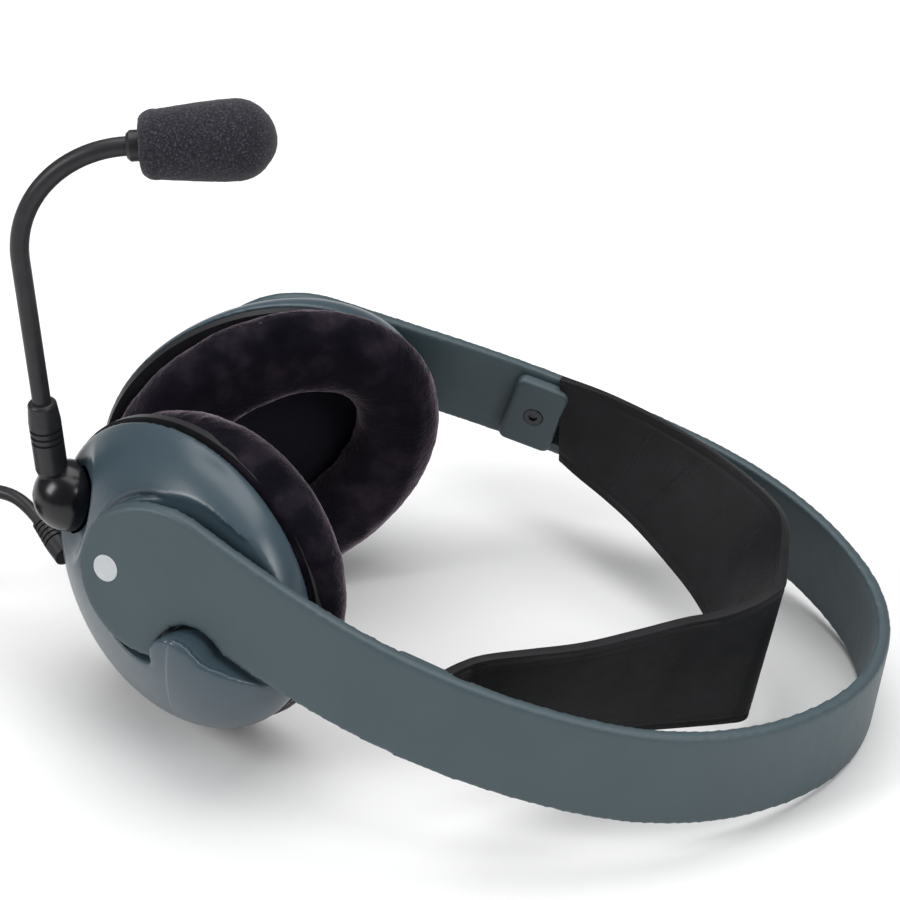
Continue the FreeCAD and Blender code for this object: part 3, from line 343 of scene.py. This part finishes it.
SLATE = moulded_slate()
SHELL = satin_slate()
BLACK = black_plastic()
GLOSS = gloss_black()
RUBBER = satin_rubber()
CABLE = satin_rubber("black cord sheath", 0.32, 0.42)
VELOUR = velour()
SKIRT = wrinkled_leatherette()
STRAP = strap_leather()
ELASTIC = woven("black elastic", (0.008, 0.008, 0.009), (0.022, 0.022, 0.024), 0.8, 0.25)
CLOTH = woven("dark blue driver cloth", (0.0025, 0.0023, 0.0065), (0.006, 0.0055, 0.013), 0.35, 0.1)
FOAM = acoustic_foam()
DAMPER = woven("grey damping foam", (0.05, 0.05, 0.055), (0.09, 0.09, 0.10), 0.6, 0.3)
STEEL = bare_metal("bare steel", (0.42, 0.42, 0.43), 0.32)
NICKEL = bare_metal("nickel plate", (0.62, 0.60, 0.57), 0.18)
DARK_STEEL = bare_metal("blackened steel", (0.06, 0.06, 0.065), 0.35)
MEMBRANE = Finish("clear driver film", (0.45, 0.44, 0.40), 0.2).material
PRINT = printed_white()

# Cord, from the strain relief to the plug
CORD_DIAMETER = 3.5
COIL_CENTRE = (-186.272, -22.0)
COIL_OUT_RADIUS = 23.55
COIL_PITCH = 4.05
COIL_LAYERS = 4
HALF_TURNS = 6
CORD_LEVEL = 1.75
LEAD_POINTS = ((-105.2, -12.97, 40.67), (-111.09, -7.91, 42.61), (-119.37, -4.6, 43.1),
               (-129.77, -4.6, 41.7), (-139.77, -4.0, 36.2), (-147.77, -2.8, 26.7),
               (-154.77, -1.0, 16.2), (-163.27, 0.8, 7.2), (-174.27, 1.55, 1.75))
TAIL_POINTS = ((-13.0, 23.55, 13.9), (-25.0, 20.0, 12.7), (-33.5, 11.5, 10.8), (-37.5, 0.0, 8.3),
               (-38.0, -10.0, 6.2), (-38.0, -18.0, 6.2))


def cord_route():
    """Control points of the whole cord: the lead, the wound coil, and the tail to the plug."""
    cx, cy = COIL_CENTRE
    points = [Vector(p) for p in LEAD_POINTS]
    y, z, side, radius = cy + COIL_OUT_RADIUS, CORD_LEVEL, -1, COIL_OUT_RADIUS
    steps = 8
    outside = 1 / math.cos(math.pi / (2 * steps))
    for k in range(HALF_TURNS * COIL_LAYERS):
        climbs = k % HALF_TURNS == HALF_TURNS - 1 and k < HALF_TURNS * COIL_LAYERS - 1
        middle = y + radius * side
        for step in range(steps):
            turn = math.pi * (step + 0.5) / steps
            rise = COIL_PITCH * (1 - math.cos(turn)) / 2 if climbs else 0
            points.append(Vector((cx + side * radius * outside * math.sin(turn),
                                  middle - side * radius * outside * math.cos(turn), z + rise)))
        y += 2 * radius * side
        z += COIL_PITCH if climbs else 0
        side = -side
        inward = (k + 1) // HALF_TURNS % 2 == 0
        radius += -COIL_PITCH / 2 if inward else COIL_PITCH / 2
    points += [Vector((cx + x, cy + y, z)) for x, y, z in TAIL_POINTS]
    return [p * MM for p in points]


def lay_cord():
    curve = bpy.data.curves.new("cord", "CURVE")
    curve.dimensions = "3D"
    curve.bevel_depth = CORD_DIAMETER / 2 * MM
    curve.bevel_resolution = 5
    curve.resolution_u = 6
    curve.use_fill_caps = True
    spline = curve.splines.new("NURBS")
    route = cord_route()
    spline.points.add(len(route) - 1)
    for point, place in zip(spline.points, route):
        point.co = (*place, 1)
    spline.order_u = 3
    spline.use_endpoint_u = True
    obj = bpy.data.objects.new("cord", curve)
    scene.collection.objects.link(obj)
    finish(obj, CABLE, "left_cup", ("cord_lead", "cord_coil", "cord_tail"))


lay_cord()

# Left ear cup's own frame
CUP_X = Vector((0.90259, -0.43051, 0.0))
CUP_Y = Vector((0.04500, 0.09435, 0.99452))
CUP_OUT = Vector((-0.42815, -0.89764, 0.10453))
CUP_AT = Vector((-68.958, -52.116, 45.877)) * MM


def in_cup(place):
    """Millimetres in the cup's frame: towards the crown, up, and outward from the head."""
    d = (place - CUP_AT) / MM
    return d.dot(CUP_X), d.dot(CUP_Y), d.dot(CUP_OUT)


# Headband hoop and strap covers
hoop = from_part("headband", "hoop")
even_skin(hoop, 0.6, 18)
finish(hoop, SLATE, "headband", "headband")
for side in ("left", "right"):
    cover = from_part(side + "_strap_cover", side + "_cover_block")
    even_skin(cover, 0.28, 4)
    finish(cover, SLATE, "headband", side + "_strap_cover")

# Plain white disc let into the near lobe
DISC_R = 3.3 * MM
DISC_DEEP = 0.6 * MM
DISC_SUNK = 0.22 * MM
IN_FRONT = Vector((-0.07066, -0.2, 0.05897))
_, spot, facing, _ = hoop.ray_cast(IN_FRONT, Vector((0, 1, 0)))
bpy.ops.mesh.primitive_cylinder_add(vertices=96, radius=DISC_R, depth=DISC_DEEP)
disc = bpy.context.object
disc.name = "white_disc"
upright = facing.to_track_quat("Z", "Y").to_matrix().to_4x4()
disc.matrix_world = Matrix.Translation(spot - facing * DISC_SUNK) @ upright
settle(disc)
modify(disc, "BEVEL", width=0.06 * MM, segments=3, limit_method="ANGLE", angle_limit=math.radians(50))
smooth(disc, 40)
finish(disc, PRINT, "headband")

# Ear cup shells: panel behind the notch, edge round the lobe, seat of the boom's ball
PANEL_RISE = 0.45
LOBE_AT = Vector((-60.0, -53.1, 57.4)) * MM
LOBE_OUT = Vector((-0.203, -0.956, 0.212)).normalized()
RIM_R = 19.3
RIM_DEEP = 1.0
EDGE_AT = RIM_R + 1.4          # raised edge outside the channel
EDGE_RISE = 0.16
BALL_AT = Vector((-91.262, -23.386, 57.735)) * MM
BALL_AXIS = Vector((-0.61038, -0.69910, 0.37241)).normalized()
BALL_R = 8.95 * MM
SEAT_WIDE = 9.0
SEAT_LEVEL = -0.9              # the seat lies this far from the middle of the ball
SEAT_CEILING = 14


def raise_panel(place, normal):
    """Raises the panel behind the notch, up to its curved crease."""
    x, y, n = in_cup(place)
    crease = 19.3 + 0.15 * y - 0.006 * y * y
    facing = normal.dot(CUP_OUT)
    if y > 6.5 or y < -30 or x < crease - 1 or facing < 0.15 or n < -20:
        return None
    lift = ease(x - crease, -0.3, 0.6) * (1 - ease(x - crease, 4, 22)) * (1 - ease(-y, 16, 30))
    return normal * lift * PANEL_RISE * MM


def rim_round_lobe(place, normal):
    """Narrow channel that keeps the shell clear of the lobe, with a raised edge outside it."""
    if normal.dot(LOBE_OUT) < 0.2:
        return None
    d = place - LOBE_AT
    flat = (d - LOBE_OUT * d.dot(LOBE_OUT)).length / MM
    ring = groove(flat - RIM_R, 0.55) * RIM_DEEP - groove(flat - EDGE_AT, 0.5) * EDGE_RISE
    x, y, n = in_cup(place)
    ring *= 1 - ease(x, 2, 9)
    return -normal * ring * MM if abs(ring) > 0.01 else None


def seat_of_ball(place, normal):
    """The shell falls away round the ball, so that its whole rim stands clear."""
    d = place - BALL_AT
    height = d.dot(BALL_AXIS) / MM
    reach = (d - BALL_AXIS * d.dot(BALL_AXIS)).length / MM
    if height < SEAT_LEVEL or reach > BALL_R / MM + SEAT_WIDE or height > SEAT_CEILING:
        return None
    fall = (height - SEAT_LEVEL) * (1 - ease(reach, BALL_R / MM + 0.3, BALL_R / MM + SEAT_WIDE))
    return -BALL_AXIS * fall * MM


def near_notch(obj, side):
    """Takes the last unevenness out of the edge under the notch."""
    group = obj.vertex_groups.new(name="notch")
    for v in obj.data.vertices:
        x, y, n = in_cup(Vector((v.co.x, v.co.y * side, v.co.z)))
        weight = ease(x, 4, 9) * (1 - ease(x, 38, 42)) * ease(y, -22, -16) * (1 - ease(y, 3, 7))
        if weight > 0 and n > -16:
            group.add([v.index], weight, "REPLACE")
    modify(obj, "SMOOTH", factor=0.5, iterations=26, vertex_group="notch")


left_shell = from_part("left_shell", "left_cup_shell")
even_skin(left_shell, 0.5, 6)
near_notch(left_shell, 1)
for change in (raise_panel, rim_round_lobe, seat_of_ball):
    move_points(left_shell, change)
smooth(left_shell, 60)
finish(left_shell, SHELL, "left_cup", "left_shell")
right_shell = from_part("right_shell", "right_cup_shell")
even_skin(right_shell, 0.5, 6)
near_notch(right_shell, -1)
for change in (raise_panel, rim_round_lobe):
    move_points(right_shell, mirrored(change))
smooth(right_shell, 60)
finish(right_shell, SHELL, "right_cup", "right_shell")

# Ear pads: velour cushion, blown up as cloth, and the gathered skirt behind its seam
PAD_SEAM_AT = -29.9
WRAP = 3.1                     # how far the velour is drawn back past the seam
PAD_SKIN = 1.8 * MM
SWELL_CAP = 1.1 * MM
AIR_PRESSURE = 4
CLOTH_FRAMES = 20


def swell(obj):
    """Cloth with air in it, held at the seam, moved by no more than the cap."""
    seam = -PAD_SEAM_AT - WRAP
    start = [v.co.copy() for v in obj.data.vertices]
    held = obj.vertex_groups.new(name="held")
    for v in obj.data.vertices:
        n = in_cup(v.co)[2]
        held.add([v.index], 1.0 - ease(-n, seam + 0.3, seam + 2.5), "REPLACE")
    pick(obj)
    modifier = obj.modifiers.new("Cloth", "CLOTH")
    modifier.settings.vertex_group_mass = "held"
    modifier.settings.use_pressure = True
    modifier.settings.uniform_pressure_force = AIR_PRESSURE
    modifier.settings.effector_weights.gravity = 0
    modifier.settings.quality = 4
    for number in range(1, CLOTH_FRAMES + 1):
        scene.frame_set(number)
    moved = obj.evaluated_get(bpy.context.evaluated_depsgraph_get()).to_mesh()
    places = [v.co.copy() for v in moved.vertices]
    obj.modifiers.remove(modifier)
    scene.frame_set(1)
    for vertex, old, new in zip(obj.data.vertices, start, places):
        move = new - old
        if move.length > SWELL_CAP:
            move *= SWELL_CAP / move.length
        vertex.co = old + move
    obj.data.update()


def pile(place, normal):
    """Uneven pile of the velour."""
    depth = noise.noise(place * 900) * 0.09 + noise.noise(place * 160) * 0.25
    return normal * depth * MM


def wrap_round(obj):
    """Draws the velour's outer edge back over the skirt, to within a narrow strip of the shell."""
    spots = [in_cup(v.co) for v in obj.data.vertices]
    low = [min(p[k] for p in spots) for k in (0, 1)]
    high = [max(p[k] for p in spots) for k in (0, 1)]
    for vertex, (x, y, n) in zip(obj.data.vertices, spots):
        across = (2 * x - low[0] - high[0]) / (high[0] - low[0])
        up = (2 * y - low[1] - high[1]) / (high[1] - low[1])
        outer = ease(math.hypot(across, up), 0.72, 0.88)
        vertex.co += CUP_OUT * outer * (1 - ease(-n, 31, 41)) * WRAP * MM
    obj.data.update()


left_pad = from_part("left_pad", "left_ear_pad")
modify(left_pad, "REMESH", mode="VOXEL", voxel_size=PAD_SKIN, adaptivity=0)
modify(left_pad, "SMOOTH", factor=0.5, iterations=2)
wrap_round(left_pad)
swell(left_pad)
modify(left_pad, "SUBSURF", levels=2, render_levels=2)
move_points(left_pad, pile)
smooth(left_pad, 80)


def gathers(place, normal):
    """Folds of the skirt, deeper away from the ring."""
    x, y, n = in_cup(place)
    depth = ease(-n, 25.4, 27.5)
    round_it = Vector((x, y, 0))
    if depth <= 0 or round_it.length < 1:
        return None
    wave = noise.noise(Vector((x * 0.33, y * 0.33, n * 0.12)))
    wave += 0.5 * noise.noise(Vector((x * 0.8, y * 0.8, n * 0.3)))
    round_it.normalize()
    outward = CUP_X * round_it.x + CUP_Y * round_it.y
    return outward * (wave * 0.6 - 0.5) * depth * MM


left_skirt = from_part("left_pad_skirt", "left_pad_gather")
even_skin(left_skirt, 0.4, 3)
move_points(left_skirt, gathers)

right_pad = mirror_copy(left_pad, "right_ear_pad")
right_skirt = mirror_copy(left_skirt, "right_pad_gather")
for side, pad, skirt in (("left", left_pad, left_skirt), ("right", right_pad, right_skirt)):
    finish(pad, VELOUR, side + "_cup", side + "_pad")
    finish(skirt, SKIRT, side + "_cup", side + "_pad_skirt")
    cloth = from_part(side + "_driver_cloth", side + "_cloth_cover")
    even_skin(cloth, 0.35, 3)
    finish(cloth, CLOTH, side + "_cup", side + "_driver_cloth")
    damper = from_part(side + "_damping_foam", side + "_damper")
    even_skin(damper, 0.3, 2)
    finish(damper, DAMPER, side + "_cup", side + "_damping_foam")

# Strap under the crown (leather round a thin core, folded once): made here as one solid band, rolled
# along both edges
HOOP_ZERO = Vector((-68.272, 0.0, 0.332))
STRAP_THICK = 2.4
STRAP_FROM = 84.529
TOP_EDGE = ((80.6, 62.3), (94.0, 60.0), (109.4, 54.6), (125.0, 46.4), (138.9, 35.4), (145.2, 26.0),
            (147.6, 10.0), (148.0, 5.0), (148.4, 0.0), (146.4, -4.5), (143.2, -9.2), (137.0, -15.6),
            (129.6, -21.6),
            (119.8, -31.1), (109.7, -40.4), (99.3, -47.5), (88.5, -53.2), (84.5, -56.0), (80.6, -62.3))
FOOT_EDGE = ((80.6, 60.6), (86.5, 56.2), (95.0, 51.0), (104.2, 44.3), (115.0, 34.2), (123.5, 25.0),
             (131.0, 14.0), (136.8, 3.0), (141.5, -9.0), (137.5, -12.5), (132.5, -16.5), (126.0, -21.5),
             (119.0, -27.0), (110.0, -35.0), (101.5, -42.5), (94.0, -48.5), (87.0, -53.5), (84.0, -56.0),
             (80.6, -60.6))
ROLL = 1.25                    # the rolled edge ends in a groove this far in
EMBOSS_STEP = 15.0             # between the pairs of lines pressed across the inner face
EMBOSS_PAIR = 1.7
NEAR_DROP = 3.2                # the near half hangs this much lower
STRAP_LONG_STEPS = 640
STRAP_WIDE_STEPS = 44
RUN_STEPS = 200


def along_edge(points, share):
    """Smooth line through the points, share 0 to 1 from the right end to the left."""
    place = share * (len(points) - 1)
    k = min(int(place), len(points) - 2)
    t = place - k
    p = [Vector(points[min(max(k + n, 0), len(points) - 1)]) for n in (-1, 0, 1, 2)]
    return 0.5 * (2 * p[1] + (p[2] - p[0]) * t + (2 * p[0] - 5 * p[1] + 4 * p[2] - p[3]) * t * t
                  + (3 * p[1] - p[0] - 3 * p[2] + p[3]) * t ** 3)


def strap_place(share, across):
    top, foot = along_edge(TOP_EDGE, share), along_edge(FOOT_EDGE, share)
    top = Vector((top.x, top.y, 50.3 - 0.1875 * (top.x - STRAP_FROM)))
    foot = Vector((foot.x, foot.y, 25.3 - 0.335 * (foot.x - STRAP_FROM)))
    top.z -= 1.4 * ease(share, 0.48, 0.65) + 2.4 * ease(share, 0.82, 0.95)
    foot.z -= NEAR_DROP * ease(share, 0.4, 0.5)
    return (foot.lerp(top, across) + HOOP_ZERO) * MM


def rows_across(v):
    """Rows of the strap, close together at its two edges."""
    t = min(max(v * 2 - 1, -1.0), 1.0)
    return 0.5 + 0.5 * math.copysign(1 - (1 - abs(t)) ** 1.9, t)


def strap_run():
    """Millimetres along the strap at each of RUN_STEPS shares."""
    run = [0.0]
    for k in range(RUN_STEPS):
        start, stop = strap_place(k / RUN_STEPS, 0.8), strap_place((k + 1) / RUN_STEPS, 0.8)
        run.append(run[-1] + (stop - start).length / MM)
    return run


def pressed(edge, along, outer, place):
    """Depth of the grooves, pressed lines and unevenness at a point, edge being its distance to one."""
    depth = 0.10 * noise.noise(place * 60) * ease(edge, 2, 6)
    if outer:
        return depth + 0.55 * groove(edge - ROLL, 0.32) + 0.12 * groove(edge - ROLL - 2.0, 0.25)
    pair = (along - 20) % EMBOSS_STEP - EMBOSS_STEP / 2
    lines = groove(pair - EMBOSS_PAIR / 2, 0.28) + groove(pair + EMBOSS_PAIR / 2, 0.28)
    return depth + 0.22 * groove(edge - ROLL - 0.9, 0.3) + 0.16 * ease(edge, 2.6, 4.5) * lines


def strap():
    bpy.ops.mesh.primitive_grid_add(x_subdivisions=STRAP_LONG_STEPS, y_subdivisions=STRAP_WIDE_STEPS,
                                    size=2, calc_uvs=True)
    obj = bpy.context.object
    obj.name = "leather_strap"
    for vertex in obj.data.vertices:
        vertex.co = strap_place((vertex.co.x + 1) / 2, rows_across((vertex.co.y + 1) / 2))
    modify(obj, "SOLIDIFY", thickness=STRAP_THICK * MM, offset=0)
    modify(obj, "BEVEL", width=0.7 * MM, segments=3, limit_method="ANGLE", angle_limit=math.radians(60))
    pick(obj)
    bpy.ops.object.mode_set(mode="EDIT")
    bpy.ops.mesh.select_all(action="SELECT")
    bpy.ops.mesh.normals_make_consistent(inside=False)
    bpy.ops.object.mode_set(mode="OBJECT")
    mesh = obj.data
    uv = mesh.uv_layers[0].data
    spot = {}
    for loop in mesh.loops:
        spot[loop.vertex_index] = uv[loop.index].uv.copy()
    run = strap_run()
    normals = [v.normal.copy() for v in mesh.vertices]
    for vertex, normal in zip(mesh.vertices, normals):
        u, v = spot[vertex.index]
        across = rows_across(v)
        width = (strap_place(u, 1) - strap_place(u, 0)).length / MM
        edge = min((1 - across) * width, across * width)
        centre = Vector((20 * MM, 0, vertex.co.z)) - vertex.co
        inward = normal.dot(centre.normalized())
        if abs(inward) > 0.3:
            at = run[min(int(u * RUN_STEPS), RUN_STEPS - 1)] + (u * RUN_STEPS % 1) * (run[-1] / RUN_STEPS)
            vertex.co -= normal * pressed(edge, at, inward < 0, vertex.co) * MM
    mesh.update()
    smooth(obj, 60)
    finish(obj, STRAP, "headband", "head_strap")


strap()

# Elastic ends
for side in ("left", "right"):
    band = from_part(side + "_elastic", side + "_elastic_end")
    even_skin(band, 0.25, 2)
    finish(band, ELASTIC, "headband", side + "_elastic")

# Boom: ball, and foam over the microphone
BALL_FLAT = -0.5 * MM


def boom_ball():
    bpy.ops.mesh.primitive_uv_sphere_add(segments=96, ring_count=48, radius=BALL_R)
    ball = bpy.context.object
    ball.name = "ball_cap"
    bpy.ops.object.mode_set(mode="EDIT")
    bpy.ops.mesh.select_all(action="SELECT")
    bpy.ops.mesh.bisect(plane_co=(0, 0, BALL_FLAT), plane_no=(0, 0, 1), use_fill=True, clear_inner=True)
    bpy.ops.object.mode_set(mode="OBJECT")
    leaning = BALL_AXIS.to_track_quat("Z", "Y").to_matrix().to_4x4()
    ball.matrix_world = Matrix.Translation(BALL_AT) @ leaning
    settle(ball)
    modify(ball, "BEVEL", width=0.35 * MM, segments=3, limit_method="ANGLE", angle_limit=math.radians(50))
    smooth(ball, 50)
    finish(ball, GLOSS, "boom", "boom_ball")


boom_ball()

FOAM_AT = middle("windscreen")
FOAM_AXIS = (FOAM_AT - middle("mic_collar")).normalized()
FOAM_LONG = 31.0 * MM
NARROW = 0.2                   # by how much the foam is narrower at its collar


def pores(place, normal):
    """Foam's pores, and its taper towards the collar."""
    d = place - FOAM_AT
    along = d.dot(FOAM_AXIS) / FOAM_LONG + 0.5
    taper = max(1 - along / 0.65, 0.0) ** 1.2 * NARROW
    around = d - FOAM_AXIS * d.dot(FOAM_AXIS)
    if around.length < 3 * MM:
        taper = 0.0
    depth = noise.noise(place * 1600) * 0.07 + noise.noise(place * 300) * 0.08
    return normal * depth * MM - around * taper


screen = from_part("windscreen", "foam_windscreen")
even_skin(screen, 0.42, 3)
move_points(screen, pores)
finish(screen, FOAM, "boom", "windscreen")

# Finishes of the pieces that stay as they are
KEPT = {
    "headband_cable": RUBBER, "right_pivot_stud": STEEL, "left_pivot_stud": STEEL,
    "strap_cover_screws": DARK_STEEL, "boom_pivot_pin": STEEL, "boom_grip": BLACK, "gooseneck": RUBBER,
    "mic_collar": BLACK, "mic_housing": BLACK, "mic_capsule": NICKEL, "strain_relief": RUBBER,
    "plug_boot": RUBBER, "plug_handle": BLACK, "plug_sleeve": NICKEL, "plug_breaks": BLACK,
    "plug_rings": NICKEL, "plug_tip": NICKEL}
for side in ("left_", "right_"):
    KEPT.update({side + "baffle": BLACK, side + "pad_ring": BLACK, side + "cup_screws": DARK_STEEL,
                 side + "driver_frame": BLACK, side + "driver_magnet": STEEL,
                 side + "driver_diaphragm": MEMBRANE,
                 side + "pivot_retainer": BLACK, side + "pivot_bush": BLACK})
for name, material in KEPT.items():
    obj = NODES[name]
    for slot in obj.material_slots:
        slot.material = material
    if not obj.material_slots:
        obj.data.materials.append(material)
    smooth(obj, 35)

# Studio
CENTRE = (-0.02, 0.0, 0.06)
FLOOR_SIDE = 8
FILL_LIGHT = 0.22


def softbox(name, place, width, height, power):
    bpy.ops.object.light_add(type="AREA", location=place)
    lamp = bpy.context.object
    lamp.name = name
    lamp.data.shape = "RECTANGLE"
    lamp.data.size, lamp.data.size_y = width, height
    lamp.data.energy = power
    aim = Vector(CENTRE) - Vector(place)
    lamp.rotation_euler = aim.to_track_quat("-Z", "Y").to_euler()


bpy.ops.mesh.primitive_plane_add(size=FLOOR_SIDE)
floor = bpy.context.object
floor.name = "floor"
floor.data.materials.append(pale_floor())
softbox("left window", (-1.05, -0.75, 0.95), 0.5, 0.7, 11)
softbox("right window", (0.95, -0.55, 0.8), 0.4, 0.6, 6)
softbox("top panel", (0.1, 0.4, 1.8), 2.2, 1.6, 34)
world = bpy.data.worlds.new("studio")
world.use_nodes = True
world.node_tree.nodes["Background"].inputs["Color"].default_value = (1, 1, 1, 1)
world.node_tree.nodes["Background"].inputs["Strength"].default_value = FILL_LIGHT
scene.world = world
